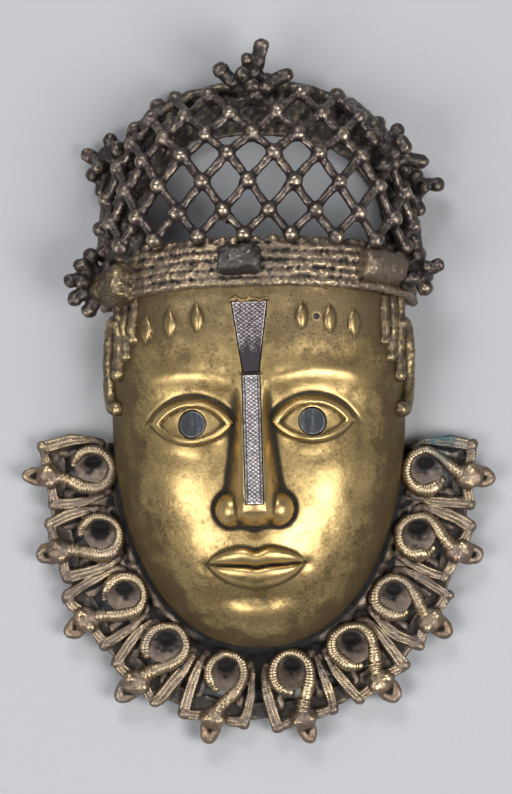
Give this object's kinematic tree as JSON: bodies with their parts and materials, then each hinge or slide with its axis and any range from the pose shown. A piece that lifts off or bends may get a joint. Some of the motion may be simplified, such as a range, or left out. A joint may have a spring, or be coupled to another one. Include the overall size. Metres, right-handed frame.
{
  "type": "belt mask",
  "caption": "Cast brass belt mask: a calm face with iron inlays, an openwork net crown over a beaded band and a collar of coiled creatures, hollow behind.",
  "frame": {"origin": "middle of the plane on which the mask's flat back rim lies, centred on its outline", "axes": "+X to the right of someone looking at the face, +Y towards the top of the crown, +Z out of the face, away from the surface it lies on"},
  "size_m": [0.1464, 0.2195, 0.0545],
  "materials": {
    "brass": "olive-gold cast brass, polished on the face, with a dark brown patina in the openwork and the hollows",
    "iron": "dark blue-grey iron with a fine engraved hatch"
  },
  "bodies": {
    "root": {"mask_casting": "brass", "forehead_inlay": "iron", "nose_inlay": "iron", "left_eye_inlay": "iron", "right_eye_inlay": "iron"}
  },
  "joints": []
}
